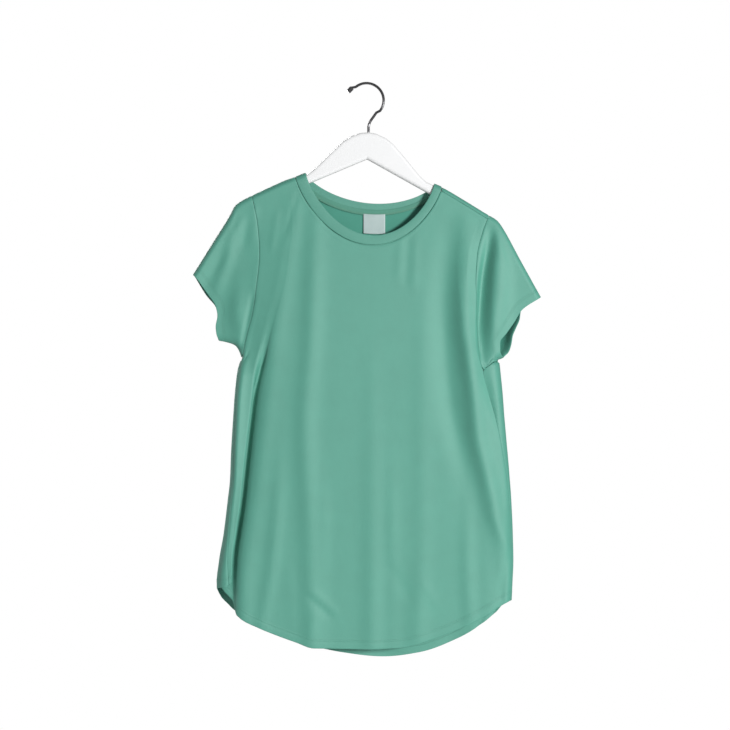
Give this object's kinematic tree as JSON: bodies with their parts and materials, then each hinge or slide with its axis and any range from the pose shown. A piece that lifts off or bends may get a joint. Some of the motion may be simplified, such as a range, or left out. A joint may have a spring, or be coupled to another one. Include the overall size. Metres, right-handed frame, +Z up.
{
  "type": "t-shirt on a hanger",
  "caption": "Short-sleeved crew-neck t-shirt of plain jersey, hanging flat on a moulded hanger with a wire hook.",
  "frame": {"origin": "top of the inside of the hanger's hook, where the nail, peg or rail that holds it bears", "axes": "+Z up along the hanging garment, -Y out of its front, +X towards the wearer's left sleeve"},
  "size_m": [0.5133, 0.041, 0.8499],
  "materials": {
    "jersey": "smooth cotton jersey, matt with a faint sheen",
    "band_jersey": "self-fabric neckband with a fine rib",
    "label_satin": "pale woven satin, blank",
    "hanger_plastic": "white moulded plastic, softly shiny",
    "hook_chrome": "bright plated wire with a clear cap"
  },
  "bodies": {
    "root": {"front": "jersey", "back": "jersey", "sleeve_right": "jersey", "sleeve_left": "jersey", "neckband": "band_jersey", "neck_label": "label_satin", "hanger_body": "hanger_plastic", "hanger_hook": "hook_chrome"}
  },
  "joints": []
}
